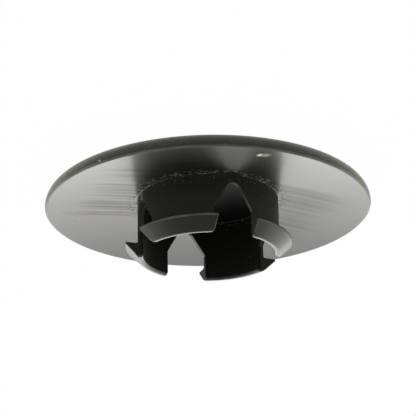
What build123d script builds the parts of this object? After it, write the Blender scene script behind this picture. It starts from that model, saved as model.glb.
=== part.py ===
"""Snap-in hinge cap: a shallow domed disc and a split collar of four barbed legs, moulded in one piece.

The cap is modelled as it lies on a bench, on its domed outer face with the legs up. The origin is the lowest
point of the dome, on the axis of the collar, and the slots between the legs face along X and Y.
"""
import os
from math import atan, pi, tan

from build123d import *

# Disc
disc_diameter = 60.0
dome_rise = 2.55
side_height = 2.7
side_land = 0.1
dish_depth = 2.5
rim_chamfer = 0.38

# Collar, with its reach measured from the rim of the disc to the tips of the legs
collar_diameter = 26.0
collar_wall = 1.0
collar_reach = 9.15
root_fillet = 0.3

# Barbs, with their height measured down from the tips of the legs to the shelf
barb_overhang = 2.3
barb_height = 2.65
lip_height = 0.4
shelf_fillet = 0.35

# Slots between the legs: the shoulder is measured down from the tips, and the web from the floor of the dish up to
# where the two slopes of the roof would meet without their wide rounding
slot_count = 4
slot_width = 7.5
slot_shoulder = 4.8
slot_web = 0.57
slot_apex_radius = 1.5
slot_overshoot = 1.0

# Rounding of the legs
leg_corner_radius = 0.5
leg_edge_radius = 0.15

disc_radius = disc_diameter / 2
rim_height = dome_rise + side_height
dish_floor = rim_height - dish_depth
tip_height = rim_height + collar_reach
collar_radius = collar_diameter / 2
bore_radius = collar_radius - collar_wall
barb_radius = collar_radius + barb_overhang
shelf_height = tip_height - barb_height

# The side of the disc is rounded over to the outer face as far as its land, below the chamfer of the rim.
dome_slope = 2 * atan(dome_rise / disc_radius)
outer_edge_radius = (side_height - side_land - rim_chamfer) * tan(pi / 4 + dome_slope / 2)

os.makedirs("parts", exist_ok=True)

with BuildPart() as hinge_cap:
    with BuildSketch(Plane.XZ) as half_section:
        # The disc is a dished lens, with both faces shallow spheres.
        with BuildLine():
            dome = TangentArc((0, 0), (disc_radius, dome_rise), tangent=(1, 0))
            dish = TangentArc((0, dish_floor), (disc_radius, rim_height), tangent=(1, 0))
            Line(dome @ 1, dish @ 1)
            Line(dish @ 0, dome @ 0)
        make_face()
        outer_edge = half_section.vertices().sort_by_distance((disc_radius, dome_rise))[0]
        fillet(outer_edge, radius=outer_edge_radius)
        rim = half_section.vertices().sort_by_distance((disc_radius, rim_height))[0]
        chamfer(rim, length=rim_chamfer)

        # The collar is a thin wall that ends in a barb: a shelf towards the disc, a narrow lip and a lead-in cone.
        with BuildLine():
            Polyline(
                (bore_radius, dish_floor),
                (bore_radius, tip_height),
                (collar_radius, tip_height),
                (barb_radius, shelf_height + lip_height),
                (barb_radius, shelf_height),
                (collar_radius, shelf_height),
                (collar_radius, dish_floor),
                close=True,
            )
        make_face()
        shelf_corner = half_section.vertices().sort_by_distance((collar_radius, shelf_height))[0]
        fillet(shelf_corner, radius=shelf_fillet)
        for wall_radius in (bore_radius, collar_radius):
            root = half_section.vertices().sort_by_distance((wall_radius, dish_floor))[0]
            fillet(root, radius=root_fillet)
    revolve(axis=Axis.Z)
    disc_and_ring_edges = hinge_cap.edges()

    # Each slot is house-shaped: parallel sides up to a shoulder, then a steep roof that stops short of the disc.
    slot_planes = [Plane.XZ.rotated((0, 0, k * 360 / slot_count)) for k in range(slot_count)]
    with BuildSketch(*slot_planes) as slot:
        with BuildLine():
            Polyline(
                (-slot_width / 2, tip_height + slot_overshoot),
                (-slot_width / 2, tip_height - slot_shoulder),
                (0, dish_floor + slot_web),
                (slot_width / 2, tip_height - slot_shoulder),
                (slot_width / 2, tip_height + slot_overshoot),
                close=True,
            )
        make_face()
        fillet(slot.vertices().sort_by(Axis.Y)[0], radius=slot_apex_radius)
    extrude(amount=barb_radius + slot_overshoot, mode=Mode.SUBTRACT)

    # The legs have rounded corners at their tips, and every edge that the slots leave is broken.
    tip_corners = hinge_cap.edges().filter_by(GeomType.LINE).group_by(Axis.Z)[-1]
    fillet(tip_corners, radius=leg_corner_radius)
    leg_edges = hinge_cap.edges() - disc_and_ring_edges
    fillet(leg_edges, radius=leg_edge_radius)

hinge_cap.part.label = "hinge_cap"
export_step(hinge_cap.part, "parts/hinge_cap.step")
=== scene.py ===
import math

import bmesh
import bpy
from mathutils import Matrix, Vector


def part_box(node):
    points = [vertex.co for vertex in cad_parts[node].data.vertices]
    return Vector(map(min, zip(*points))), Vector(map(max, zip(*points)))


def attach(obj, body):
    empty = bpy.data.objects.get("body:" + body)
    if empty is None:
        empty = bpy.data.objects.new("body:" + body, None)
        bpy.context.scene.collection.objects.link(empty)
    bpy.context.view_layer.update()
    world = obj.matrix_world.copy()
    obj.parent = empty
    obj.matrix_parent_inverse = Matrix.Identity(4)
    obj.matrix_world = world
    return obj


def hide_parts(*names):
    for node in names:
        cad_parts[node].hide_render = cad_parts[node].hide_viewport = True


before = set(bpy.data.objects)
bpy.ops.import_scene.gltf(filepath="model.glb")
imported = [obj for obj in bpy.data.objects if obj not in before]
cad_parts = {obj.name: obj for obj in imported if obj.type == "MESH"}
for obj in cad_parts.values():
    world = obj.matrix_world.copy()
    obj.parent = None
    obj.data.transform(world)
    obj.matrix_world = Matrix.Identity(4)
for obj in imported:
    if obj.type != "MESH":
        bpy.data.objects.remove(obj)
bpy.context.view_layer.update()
bpy.context.scene.view_settings.view_transform = "Standard"

# The hinge cap is one piece of black ABS, injection moulded: a shallow domed disc, and on its hollow underside a
# split collar of four barbed legs that snaps into a round hole. The outer face and the side of the disc come from
# spark-eroded steel and are grained, the hollow and the collar come from polished steel and shine.
MM = 0.001
low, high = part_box("hinge_cap")
disc_radius = (high.x - low.x) / 2
tip_height = high.z
dome_rise = 2.55 * MM
rim_height = 5.25 * MM
dish_depth = 2.5 * MM
side_rounding = 2.63 * MM
rim_chamfer = 0.38 * MM
rim_edge_rounding = 0.07 * MM
root_rounding = 0.1 * MM
wall_outside = 13.0 * MM
wall_inside = 12.0 * MM
barb_reach = 15.3 * MM
shelf_height = tip_height - 2.65 * MM
shelf_rounding = 0.35 * MM
lip_height = 0.4 * MM
slot_half_width = 3.75 * MM
slot_shoulder = tip_height - 4.8 * MM
slot_point = 3.32 * MM
slot_point_rounding = 1.5 * MM
leg_corner_rounding = 0.5 * MM
inner_bevel_width = 0.45 * MM
inner_bevel_height = 0.3 * MM
leg_edge_rounding = 0.15 * MM
lip_edge_rounding = 0.04 * MM


def arc(bm, start, centre, degrees, steps):
    """Carries the section on from its last vertex along an arc about centre, and returns the arc's far end."""
    swept = bmesh.ops.spin(bm, geom=[start], cent=(centre[0], 0, centre[1]), axis=(0, 1, 0),
                           angle=math.radians(degrees), steps=steps)
    return [part for part in swept["geom_last"] if isinstance(part, bmesh.types.BMVert)][0]


def line(bm, start, *corners):
    """Carries the section on from its last vertex through corners, and returns the last of them."""
    for radius, height in corners:
        end = bm.verts.new((radius, 0, height))
        bm.edges.new((start, end))
        start = end
    return start


cap = bmesh.new()

# Half of the cap's section, from the lowest point of the dome round to the middle of the hollow.
dome_centre = (disc_radius ** 2 + dome_rise ** 2) / (2 * dome_rise)
dome_end = math.asin((disc_radius - side_rounding) / (dome_centre - side_rounding))
side_centre = dome_centre - (dome_centre - side_rounding) * math.cos(dome_end)
dish_radius = (disc_radius ** 2 + dish_depth ** 2) / (2 * dish_depth)
dish_centre = rim_height - dish_depth + dish_radius
rim_radius = disc_radius - rim_chamfer
rim_end = math.asin(rim_radius / dish_radius)
rim_ring_height = dish_centre - dish_radius * math.cos(rim_end)
outer_root = math.asin((wall_outside + root_rounding) / (dish_radius - root_rounding))
outer_root_centre = dish_centre - (dish_radius - root_rounding) * math.cos(outer_root)
inner_root = math.asin((wall_inside - root_rounding) / (dish_radius - root_rounding))
inner_root_centre = dish_centre - (dish_radius - root_rounding) * math.cos(inner_root)
dome_end, rim_end, outer_root, inner_root = map(math.degrees, (dome_end, rim_end, outer_root, inner_root))

# A ring runs round the cone just below the rounded corners of the tips, so that the cone shades evenly beside them.
cone_ring_depth = 0.68 * MM
cone_share = cone_ring_depth / (tip_height - shelf_height - lip_height)
cone_ring = (wall_outside + cone_share * (barb_reach - wall_outside), tip_height - cone_ring_depth)

pen = cap.verts.new((0, 0, 0))
pen = arc(cap, pen, (0, dome_centre), -dome_end, steps=24)
pen = arc(cap, pen, (disc_radius - side_rounding, side_centre), dome_end - 90, steps=14)
pen = line(cap, pen, (disc_radius, rim_height - rim_chamfer), (rim_radius, rim_ring_height))
pen = arc(cap, pen, (0, dish_centre), rim_end - outer_root, steps=24)
pen = arc(cap, pen, (wall_outside + root_rounding, outer_root_centre), 90 + outer_root, steps=6)
pen = line(cap, pen, (wall_outside, slot_shoulder), (wall_outside, shelf_height - shelf_rounding))
pen = arc(cap, pen, (wall_outside + shelf_rounding, shelf_height - shelf_rounding), 90, steps=5)
pen = line(cap, pen, (barb_reach, shelf_height), (barb_reach, shelf_height + lip_height), cone_ring,
           (wall_outside, tip_height), (wall_inside + inner_bevel_width, tip_height),
           (wall_inside, tip_height - inner_bevel_height), (wall_inside, slot_shoulder),
           (wall_inside, inner_root_centre))
pen = arc(cap, pen, (wall_inside - root_rounding, inner_root_centre), 90 - inner_root, steps=6)
arc(cap, pen, (0, dish_centre), inner_root, steps=12)

# The section goes round once. Columns of faces stand on each side of a slot's middle: the first of them are spread
# over half the slot's width, the next one starts clear of the leg's side, and the last one ends in the leg's middle.
slots = 4
point_columns = 4
slot_columns = 8
half_leg_columns = 21
leg_start = math.radians(21.5)
leg_middle = math.pi / slots
column_count = 2 * slots * half_leg_columns
weld_distance = 0.001 * MM
bmesh.ops.spin(cap, geom=cap.verts[:] + cap.edges[:], cent=(0, 0, 0), axis=(0, 0, 1), angle=2 * math.pi,
               steps=column_count, use_merge=True)
bmesh.ops.remove_doubles(cap, verts=cap.verts, dist=weld_distance)

roof_slope = (slot_shoulder - slot_point) / slot_half_width
roof_angle = math.atan(roof_slope)
point_half_width = slot_point_rounding * math.sin(roof_angle)
point_centre = slot_point + slot_point_rounding / math.cos(roof_angle)


def slot_offset(column):
    """How far a column within the slot stands from the slot's middle."""
    if column <= point_columns:
        return slot_point_rounding * math.sin(roof_angle * column / point_columns)
    share = (column - point_columns) / (slot_columns - point_columns)
    return point_half_width + share * (slot_half_width - point_half_width)


def roof_height(offset):
    """The height of the slot's roof: a straight slope with a rounded point."""
    if offset < point_half_width:
        return point_centre - math.sqrt(slot_point_rounding ** 2 - offset ** 2)
    return slot_point + roof_slope * offset


def smooth_step(value, start, end):
    """Rises smoothly from 0 at start to 1 at end."""
    share = min(max((value - start) / (end - start), 0), 1)
    return share * share * (3 - 2 * share)


# The columns are matched to the slots between the two inner radii of these four, and even again beyond the outer two.
even_within, matched_from, matched_to, even_beyond = 6 * MM, 11.5 * MM, 15.5 * MM, 28 * MM


def column_angle(column, radius):
    """The angle of a column from the slot's middle: matched to the slot at the collar, and even at rim and centre."""
    even = leg_middle * column / half_leg_columns
    near_collar = smooth_step(radius, even_within, matched_from) * (1 - smooth_step(radius, matched_to, even_beyond))
    if near_collar == 0:
        return even
    if column <= slot_columns:
        fitted = math.asin(slot_offset(column) / max(radius, wall_inside))
    else:
        share = (column - slot_columns - 1) / (half_leg_columns - slot_columns - 1)
        fitted = leg_start + share * (leg_middle - leg_start)
    return even + near_collar * (fitted - even)


# Places that are compared may differ by this much and still count as the same.
clear = 0.01 * MM
for vertex in cap.verts:
    radius = math.hypot(vertex.co.x, vertex.co.y)
    if radius < clear:
        continue
    place = round(math.atan2(vertex.co.y, vertex.co.x) / (2 * math.pi) * column_count)
    slot_middle = round(place / (2 * half_leg_columns))
    column = place - slot_middle * 2 * half_leg_columns
    angle = slot_middle * 2 * leg_middle + math.copysign(column_angle(abs(column), radius), column)
    at_shoulder = abs(vertex.co.z - slot_shoulder) < clear
    if at_shoulder and abs(column) < slot_columns:
        vertex.co.z = roof_height(slot_offset(abs(column)))
    vertex.co.x = radius * math.cos(angle)
    vertex.co.y = radius * math.sin(angle)


def beside_slot(point):
    """How far a point stands from the middle plane of the nearest slot."""
    return min(abs(point.x), abs(point.y))


# The slots are opened, their roofs are closed across the wall, and each side of a leg gets its cut face.
gone = [face for face in cap.faces if beside_slot(face.calc_center_median()) < slot_half_width - clear
        and max(vertex.co.z for vertex in face.verts) > slot_shoulder + clear]
bmesh.ops.delete(cap, geom=gone, context="FACES")
roof_edges = [edge for edge in cap.edges if edge.is_boundary
              and all(beside_slot(vertex.co) < slot_half_width + clear and vertex.co.z < slot_shoulder + clear
                      for vertex in edge.verts)]
for quarter in range(slots):
    outward = Vector((math.cos(quarter * math.pi / 2), math.sin(quarter * math.pi / 2), 0))
    bmesh.ops.bridge_loops(cap, edges=[edge for edge in roof_edges
                                       if edge.verts[0].co.dot(outward) > wall_inside / 2])
bmesh.ops.edgeloop_fill(cap, edges=[edge for edge in cap.edges if edge.is_boundary])
bmesh.ops.recalc_face_normals(cap, faces=cap.faces)

# The grain of the outer face goes round the side of the disc up to the rim's chamfer, which gets a pale grey as a
# painted highlight. The upright walls of the collar, its cut faces and the points of its slots are drawn from plainer
# steel, and are satin. Each finish has its place in the piece's list of materials, and a face is sorted by how far it
# leans.
POLISHED, GRAINED, SATIN, PAINTED_HIGHLIGHT = 0, 1, 2, 3
outer_face_lean = 0.2
upright_lean = 0.3
slot_point_lean = 0.6
collar_foot = 3.1 * MM
behind_lip = barb_reach - 0.3 * MM
for face in cap.faces:
    middle = face.calc_center_median()
    heights = [vertex.co.z for vertex in face.verts]
    on_rim = min(vertex.co.xy.length for vertex in face.verts) > rim_radius - clear
    wall_reach = wall_outside + clear if middle.z < shelf_height - shelf_rounding else behind_lip
    on_collar = wall_inside - clear < middle.xy.length < wall_reach and middle.z > collar_foot
    upright = abs(face.normal.z) < upright_lean
    on_slot_point = max(heights) < slot_shoulder and face.normal.z > slot_point_lean
    if max(heights) < rim_height - rim_chamfer + clear and face.normal.z < outer_face_lean:
        face.material_index = GRAINED
    elif on_rim and min(heights) > rim_height - rim_chamfer - clear:
        face.material_index = PAINTED_HIGHLIGHT
    elif on_collar and (upright or on_slot_point):
        face.material_index = SATIN
    else:
        face.material_index = POLISHED


def round_edges(edges, offset, segments, clamp_overlap):
    """Rounds edges of the cap, and returns the new faces."""
    rounded = bmesh.ops.bevel(cap, geom=edges, offset=offset, offset_type="OFFSET", segments=segments, profile=0.5,
                              affect="EDGES", clamp_overlap=clamp_overlap, material=-1)
    return rounded["faces"]


def runs_level(edge):
    """Tells whether both ends of an edge are at one height."""
    return abs(edge.verts[0].co.z - edge.verts[1].co.z) < clear


# The rim's two edges and the corners of each leg's tip are rounded first, then every sharp edge of the legs is broken,
# and last the lips of the barbs, which are the crispest. The lips and the cones' edges get a pale grey as a painted
# highlight.
rim_edges = [edge for edge in cap.edges
             if all(vertex.co.xy.length > rim_radius - clear for vertex in edge.verts)
             and runs_level(edge) and edge.verts[0].co.z > rim_height - rim_chamfer - clear]
round_edges(rim_edges, rim_edge_rounding, segments=2, clamp_overlap=False)
tip_corners = [edge for edge in cap.edges
               if all(vertex.co.z > tip_height - inner_bevel_height - clear
                      and abs(beside_slot(vertex.co) - slot_half_width) < clear for vertex in edge.verts)]
round_edges(tip_corners, leg_corner_rounding, segments=5, clamp_overlap=False)

sharp_angle = math.radians(27)
past_barb = barb_reach + 1 * MM
lip_face_from = barb_reach - 0.1 * MM
sharp_edges = [edge for edge in cap.edges if edge.calc_face_angle(0) > sharp_angle
               and edge.verts[0].co.xy.length < past_barb]
rings_of_lips = {edge for edge in sharp_edges
                 if all(vertex.co.xy.length > barb_reach - clear for vertex in edge.verts) and runs_level(edge)}
broken = round_edges([edge for edge in sharp_edges if edge not in rings_of_lips], leg_edge_rounding, segments=3,
                     clamp_overlap=True)
# The broken edges of the cones get the pale grey of the painted highlight.
for face in broken:
    middle = face.calc_center_median()
    if middle.xy.length > wall_outside and shelf_height + clear < middle.z < tip_height - leg_corner_rounding:
        face.material_index = PAINTED_HIGHLIGHT
lip_edges = [edge for edge in cap.edges if edge.calc_face_angle(0) > sharp_angle
             and all(barb_reach - leg_edge_rounding < vertex.co.xy.length < past_barb
                     and shelf_height - clear < vertex.co.z < shelf_height + lip_height + clear
                     for vertex in edge.verts)]
round_edges(lip_edges, lip_edge_rounding, segments=2, clamp_overlap=True)
for face in cap.faces:
    face.smooth = True
    # The lips of the barbs get the pale grey of the painted highlight.
    on_lip = lip_face_from < face.calc_center_median().xy.length < past_barb and face.verts[0].co.z > slot_shoulder
    if on_lip:
        face.material_index = PAINTED_HIGHLIGHT

mesh = bpy.data.meshes.new("hinge_cap_moulding")
cap.to_mesh(mesh)
cap.free()
moulding = bpy.data.objects.new("hinge_cap_moulding", mesh)
bpy.context.scene.collection.objects.link(moulding)
weighted = moulding.modifiers.new("even_shading", "WEIGHTED_NORMAL")
weighted.weight = 50
weighted.keep_sharp = False


def linear(hex_colour):
    """A colour written as sRGB hex, as the linear values that Blender wants."""
    values = [int(hex_colour[i:i + 2], 16) / 255 for i in (1, 3, 5)]
    return [v / 12.92 if v <= 0.04045 else ((v + 0.055) / 1.055) ** 2.4 for v in values] + [1]


def add_node(tree, kind, inputs=(), **settings):
    """Adds a node with its settings, and gives its inputs a value or a link each, in order or by name or number."""
    node = tree.nodes.new(kind)
    for name, value in settings.items():
        setattr(node, name, value)
    for socket, value in inputs.items() if isinstance(inputs, dict) else enumerate(inputs):
        if isinstance(value, bpy.types.NodeSocket):
            tree.links.new(value, node.inputs[socket])
        else:
            node.inputs[socket].default_value = value
    return node


# A Map Range node takes a value, the range that it comes from and, unless that is 0 to 1, the range that it goes to,
# here always with soft ends. A Mix node takes its share at socket 0 and two colours at sockets 6 and 7, and gives the
# mixed colour at socket 2.
soft = {"interpolation_type": "SMOOTHSTEP"}
colours = {"data_type": "RGBA"}


def all_of(tree, *shares):
    """Multiplies shares between 0 and 1, and returns their product."""
    product = shares[0]
    for share in shares[1:]:
        product = add_node(tree, "ShaderNodeMath", (product, share), operation="MULTIPLY").outputs[0]
    return product


def position(tree):
    """Returns the place on the piece, its distance from the collar's axis and its three coordinates."""
    place = add_node(tree, "ShaderNodeTexCoord").outputs["Object"]
    level = add_node(tree, "ShaderNodeVectorMath", (place, (1, 1, 0)), operation="MULTIPLY").outputs[0]
    radius = add_node(tree, "ShaderNodeVectorMath", (level,), operation="LENGTH").outputs["Value"]
    x, y, z = add_node(tree, "ShaderNodeSeparateXYZ", (place,)).outputs
    return place, radius, x, y, z


def dust_specks(tree, place, size, fewest, most, nearness):
    """Returns 1 on irregular specks of dust, which are thin where nearness is 0 and thick where it is 1."""
    fine = add_node(tree, "ShaderNodeTexNoise", {"Vector": place, "Scale": 1 / size, "Detail": 1.0, "Roughness": 0.7})
    threshold = add_node(tree, "ShaderNodeMapRange", (nearness, 0, 1, fewest, most), **soft).outputs[0]
    above = add_node(tree, "ShaderNodeMath", (fine.outputs["Fac"], threshold), operation="SUBTRACT").outputs[0]
    return add_node(tree, "ShaderNodeMapRange", (above, 0, 0.05), **soft).outputs[0]


def root_nearness(tree, radius, z):
    """Returns 1 in the corner where the collar stands on the hollow, and 0 from about 4 mm away."""
    past_wall = add_node(tree, "ShaderNodeMath", (radius, wall_outside + 0.3 * MM), operation="SUBTRACT").outputs[0]
    beside = add_node(tree, "ShaderNodeMath", (past_wall,), operation="ABSOLUTE").outputs[0]
    near_wall = add_node(tree, "ShaderNodeMapRange", (beside, 4 * MM, 0.2 * MM), **soft).outputs[0]
    near_floor = add_node(tree, "ShaderNodeMapRange", (z, 6 * MM, 3.4 * MM), **soft).outputs[0]
    return all_of(tree, near_wall, near_floor)


def spot(tree, place, centre, radii):
    """Returns 1 in the middle of an ellipsoid about centre, and falls softly to 0 a little outside it."""
    away = add_node(tree, "ShaderNodeVectorMath", (place, centre), operation="SUBTRACT").outputs[0]
    scaled = add_node(tree, "ShaderNodeVectorMath", (away, radii), operation="DIVIDE").outputs[0]
    length = add_node(tree, "ShaderNodeVectorMath", (scaled,), operation="LENGTH").outputs["Value"]
    return add_node(tree, "ShaderNodeMapRange", (length, 1.4, 0.2), **soft).outputs[0]


abs_ior = 1.54


def black_abs(name, even_values):
    """Adds a material with the values that are even all over it, and returns it with its tree and its shader."""
    material = bpy.data.materials.new(name)
    material.use_nodes = True
    shader = material.node_tree.nodes["Principled BSDF"]
    shader.inputs["IOR"].default_value = abs_ior
    for socket, value in even_values.items():
        shader.inputs[socket].default_value = value
    return material, material.node_tree, shader


# Black ABS as it comes out of polished steel: a soft black under a clearer gloss, with painted shade that makes it a
# deeper black inside the collar. Fine straight polishing marks lie in the band of the hollow beside the collar and dull
# it, more on one side. Pale dust has caught round the collar's root, and a whitish spot lies near the rim.
polished, tree, shader = black_abs("polished_black_abs", {"Coat Roughness": 0.24, "Coat IOR": abs_ior})
place, radius, x, y, z = position(tree)

# Real polishing marks are finer than a pixel of the render, so these are drawn 0.8 mm wide to show.
mark_length = 60 * MM
mark_width = 0.8 * MM
band_half_width = 12.2 * MM
dull_from = 5 * MM
marks_thin_from, marks_end = 17 * MM, 28 * MM
stretched = add_node(tree, "ShaderNodeVectorMath", (place, (1 / mark_length, 1 / mark_width, 0)),
                     operation="MULTIPLY").outputs[0]
brushed = add_node(tree, "ShaderNodeTexNoise", {"Vector": stretched, "Scale": 1.0, "Detail": 2.0, "Roughness": 0.5})
streaks = add_node(tree, "ShaderNodeMapRange", (brushed.outputs["Fac"], 0.42, 0.6), **soft).outputs[0]
dull_side = add_node(tree, "ShaderNodeMapRange", (x, dull_from, -dull_from), **soft).outputs[0]
streak_share = add_node(tree, "ShaderNodeMapRange", (dull_side, 0, 1, 0.95, 0.4), **soft).outputs[0]
worn = add_node(tree, "ShaderNodeMath", (all_of(tree, dull_side, 0.5), all_of(tree, streaks, streak_share)),
                operation="ADD").outputs[0]
across = add_node(tree, "ShaderNodeMath", (y,), operation="ABSOLUTE").outputs[0]
along = add_node(tree, "ShaderNodeMath", (x,), operation="ABSOLUTE").outputs[0]
in_band = add_node(tree, "ShaderNodeMapRange", (across, band_half_width + 0.3 * MM, band_half_width - 0.5 * MM),
                   **soft).outputs[0]
near_collar = add_node(tree, "ShaderNodeMapRange", (along, marks_end, marks_thin_from), **soft).outputs[0]
past_collar = add_node(tree, "ShaderNodeMapRange", (radius, 13.1 * MM, 13.5 * MM), **soft).outputs[0]
below_rim = add_node(tree, "ShaderNodeMapRange", (z, 6 * MM, 5.5 * MM), **soft).outputs[0]
on_hollow = all_of(tree, past_collar, below_rim)
marks = all_of(tree, in_band, near_collar, on_hollow, worn)
shine = add_node(tree, "ShaderNodeMapRange", (marks, 0, 1, 0.25, 0.12), **soft).outputs[0]
tree.links.new(shine, shader.inputs["Specular IOR Level"])

# Painted shade: the base colour turns a deeper black inside the collar.
inside = add_node(tree, "ShaderNodeMapRange", (radius, wall_inside, wall_inside - 0.5 * MM), **soft).outputs[0]
outside = add_node(tree, "ShaderNodeMapRange", (inside, 1, 0), **soft).outputs[0]
nearness = all_of(tree, root_nearness(tree, radius, z), outside)
dust = dust_specks(tree, place, 0.5 * MM, 0.78, 0.57, nearness)
# A whitish spot near the rim: pale colour, a rougher surface and no coat there.
bright_spot = spot(tree, place, (0.15 * MM, -25.8 * MM, 4.6 * MM), (0.5 * MM, 0.9 * MM, 1 * MM))
faint_spot = all_of(tree, 0.4, spot(tree, place, (-0.8 * MM, -26.2 * MM, 4.6 * MM), (0.8 * MM, 1.2 * MM, 1 * MM)))
whitish_spot = add_node(tree, "ShaderNodeMath", (bright_spot, faint_spot), operation="MAXIMUM").outputs[0]
clean_with_painted_shade = add_node(tree, "ShaderNodeMix", {0: inside, 6: linear("#232321"), 7: linear("#121212")}, **colours).outputs[2]
dusty = add_node(tree, "ShaderNodeMix", {0: all_of(tree, dust, 0.85), 6: clean_with_painted_shade, 7: linear("#a5a38f")},
                 **colours).outputs[2]
black = add_node(tree, "ShaderNodeMix", {0: whitish_spot, 6: dusty, 7: linear("#f0eee2")}, **colours).outputs[2]
tree.links.new(black, shader.inputs["Base Color"])

pale = add_node(tree, "ShaderNodeMath", (dust, whitish_spot), operation="MAXIMUM").outputs[0]
dry = add_node(tree, "ShaderNodeMapRange", (pale, 0, 1, 0.45, 0.9), **soft).outputs[0]
tree.links.new(dry, shader.inputs["Roughness"])
gloss_by_marks = add_node(tree, "ShaderNodeMapRange", (marks, 0, 1, 0.5, 0.32), **soft).outputs[0]
gloss_by_depth = add_node(tree, "ShaderNodeMapRange", (inside, 0, 1, 1.0, 0.5), **soft).outputs[0]
gloss_by_dust = add_node(tree, "ShaderNodeMapRange", (pale, 0, 1, 1, 0), **soft).outputs[0]
tree.links.new(all_of(tree, gloss_by_marks, gloss_by_depth, gloss_by_dust), shader.inputs["Coat Weight"])

# Black ABS from plainly drawn steel, on the upright walls of the collar: satin, with painted shade that makes it a
# deeper black inside. Dust clings to the outside near the root.
satin, tree, shader = black_abs("satin_black_abs", {"Specular IOR Level": 0.12, "Roughness": 0.5})
place, radius, _, _, z = position(tree)
inside = add_node(tree, "ShaderNodeMapRange", (radius, 12.6 * MM, 12.2 * MM), **soft).outputs[0]
dust = dust_specks(tree, place, 0.4 * MM, 0.74, 0.62, root_nearness(tree, radius, z))
# Painted shade: the wall's base colour turns a deeper black inside the collar.
shade = add_node(tree, "ShaderNodeMix", {0: inside, 6: linear("#3a3934"), 7: linear("#201f1c")}, **colours).outputs[2]
dusty = add_node(tree, "ShaderNodeMix", {0: all_of(tree, dust, 0.6), 6: shade, 7: linear("#8f8c68")},
                 **colours).outputs[2]
tree.links.new(dusty, shader.inputs["Base Color"])

# Black ABS from spark-eroded steel: a fine even grain that scatters the light, with grey-yellow dust held in it and
# one larger fleck of it near the rim.
grained, tree, shader = black_abs("grained_black_abs", {
    "Roughness": 0.38, "Specular IOR Level": 0.25, "Sheen Weight": 1.0, "Sheen Roughness": 0.5,
    "Sheen Tint": linear("#d2d0ba")})
place = add_node(tree, "ShaderNodeTexCoord").outputs["Object"]
# The real grain is finer than a pixel of the render, so it is drawn 0.4 mm wide to show.
grain_width = 0.4 * MM
grain_depth = 0.06 * MM
pits = add_node(tree, "ShaderNodeTexNoise", {"Vector": place, "Scale": 1 / grain_width, "Detail": 3.0,
                                             "Roughness": 0.7}).outputs["Fac"]
raised = add_node(tree, "ShaderNodeMapRange", (pits, 0.52, 0.7), **soft).outputs[0]
fleck = spot(tree, place, (26.08 * MM, -14.81 * MM, 4.72 * MM), (0.26 * MM, 0.26 * MM, 0.22 * MM))
grey = add_node(tree, "ShaderNodeMix", {0: all_of(tree, raised, 0.28), 6: linear("#0b0a09"), 7: linear("#6f6c58")},
                **colours).outputs[2]
flecked = add_node(tree, "ShaderNodeMix", {0: fleck, 6: grey, 7: linear("#d8d3ab")}, **colours).outputs[2]
tree.links.new(flecked, shader.inputs["Base Color"])
bump = add_node(tree, "ShaderNodeBump", {"Strength": 1.0, "Distance": grain_depth, "Height": pits})
tree.links.new(bump.outputs["Normal"], shader.inputs["Normal"])

# A painted highlight on the narrow chamfer of the rim and on the lips and edges of the barbs: black ABS in a smooth
# grey that is a little uneven, which shows these edges as light lines.
painted_highlight_grey, tree, shader = black_abs("painted_highlight_grey_abs", {"Roughness": 0.4})
place = add_node(tree, "ShaderNodeTexCoord").outputs["Object"]
patch_width = 3 * MM
grey_unevenness = add_node(tree, "ShaderNodeTexNoise", {"Vector": place, "Scale": 1 / patch_width, "Detail": 2.0,
                                               "Roughness": 0.5}).outputs["Fac"]
patches = add_node(tree, "ShaderNodeMapRange", (grey_unevenness, 0.3, 0.7), **soft).outputs[0]
grey = add_node(tree, "ShaderNodeMix", {0: patches, 6: linear("#52524d"), 7: linear("#666660")}, **colours).outputs[2]
tree.links.new(grey, shader.inputs["Base Color"])

for material in (polished, grained, satin, painted_highlight_grey):
    moulding.data.materials.append(material)
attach(moulding, "root")
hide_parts("hinge_cap")

# The floor is plain white card under the cap. It shows white to the camera and in reflections, with a faint shadow.
floor_mesh = bpy.data.meshes.new("floor")
floor_shape = bmesh.new()
bmesh.ops.create_grid(floor_shape, x_segments=1, y_segments=1, size=1.5)
floor_shape.to_mesh(floor_mesh)
floor_shape.free()
floor = bpy.data.objects.new("floor", floor_mesh)
bpy.context.scene.collection.objects.link(floor)
card = bpy.data.materials.new("white_card")
card.use_nodes = True
tree = card.node_tree
tree.nodes.clear()
path = add_node(tree, "ShaderNodeLightPath").outputs
seen = add_node(tree, "ShaderNodeMath", (path["Is Camera Ray"], path["Is Glossy Ray"]), operation="MAXIMUM").outputs[0]
diffuse = add_node(tree, "ShaderNodeBsdfDiffuse", {"Color": linear("#ececec")})
white = add_node(tree, "ShaderNodeEmission", {"Color": linear("#ffffff"), "Strength": 1.0})
mix = add_node(tree, "ShaderNodeMixShader", (all_of(tree, seen, 0.99), diffuse.outputs[0], white.outputs[0]))
add_node(tree, "ShaderNodeOutputMaterial", {"Surface": mix.outputs[0]})
floor.data.materials.append(card)

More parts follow.
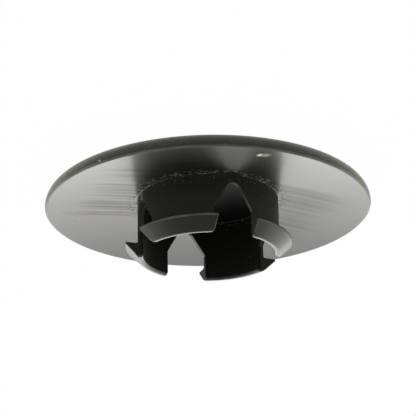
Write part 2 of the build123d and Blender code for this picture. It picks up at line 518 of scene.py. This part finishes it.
# The camera stands where the photograph was taken from, about 450 mm away and 22 degrees above the plane of the rim.
# It is turned over, because the photograph shows the cap with its domed face on top.
camera_elevation = math.radians(21.75)
camera_azimuth = math.radians(-68.571)
camera_roll = math.radians(-1.181)
camera_distance = 450 * MM
aim_above_rim_centre = 0.39 * MM
outward = Vector((math.cos(camera_azimuth), math.sin(camera_azimuth), 0))
towards_camera = outward * math.cos(camera_elevation) + Vector((0, 0, math.sin(camera_elevation)))
level_right = Vector((math.sin(camera_azimuth), -math.cos(camera_azimuth), 0))
level_down = Vector((0, 0, math.cos(camera_elevation))) - outward * math.sin(camera_elevation)
picture_right = level_right * math.cos(camera_roll) - level_down * math.sin(camera_roll)
picture_up = -level_right * math.sin(camera_roll) - level_down * math.cos(camera_roll)
aim = Vector((0, 0, rim_ring_height)) + picture_up * aim_above_rim_centre
camera_data = bpy.data.cameras.new("camera")
camera_data.sensor_width = 36
camera_data.lens = 211.33
camera = bpy.data.objects.new("camera", camera_data)
turned = Matrix((picture_right, picture_up, towards_camera)).transposed().to_4x4()
camera.matrix_world = Matrix.Translation(aim + towards_camera * camera_distance) @ turned
bpy.context.scene.collection.objects.link(camera)
bpy.context.scene.camera = camera

# Three sheets of diffusion cloth, one in front of the other, stand on the floor behind the cap and are lit evenly.
# Together they are brightest in the middle. A dimmer sheet stands on each side. The rest of the room is plain. A
# sheet has its turn in degrees from behind the cap, its width, height and distance in metres, and its radiance.
sheets = (("wide_sheet", 0, 6.0, 2.4, 1.15, 0.82), ("middle_sheet", 0, 3.3, 1.8, 1.1, 0.7),
          ("near_sheet", 0, 1.25, 0.65, 1.05, 1.15), ("left_sheet", -85, 1.0, 1.5, 1.2, 0.55),
          ("right_sheet", 85, 1.0, 1.5, 1.2, 0.55))
for name, turn, width, height, distance, radiance in sheets:
    away = Matrix.Rotation(math.radians(turn), 3, "Z") @ -outward
    lamp_data = bpy.data.lights.new(name, "AREA")
    lamp_data.shape = "RECTANGLE"
    lamp_data.color = linear("#fffefa")[:3]
    lamp_data.size = width
    lamp_data.size_y = height
    lamp_data.energy = radiance * math.pi * width * height
    lamp = bpy.data.objects.new(name, lamp_data)
    lamp.location = away * distance + Vector((0, 0, height / 2))
    lamp.rotation_euler = away.to_track_quat("Z", "Y").to_euler()
    bpy.context.scene.collection.objects.link(lamp)

world = bpy.data.worlds.new("room")
bpy.context.scene.world = world
world.use_nodes = True
tree = world.node_tree
tree.nodes.clear()
path = add_node(tree, "ShaderNodeLightPath").outputs
level = add_node(tree, "ShaderNodeMapRange", (path["Is Camera Ray"], 0, 1, 0.33, 1.0), **soft).outputs[0]
room_light = add_node(tree, "ShaderNodeBackground", {"Color": linear("#ffffff"), "Strength": level})
add_node(tree, "ShaderNodeOutputWorld", {"Surface": room_light.outputs[0]})
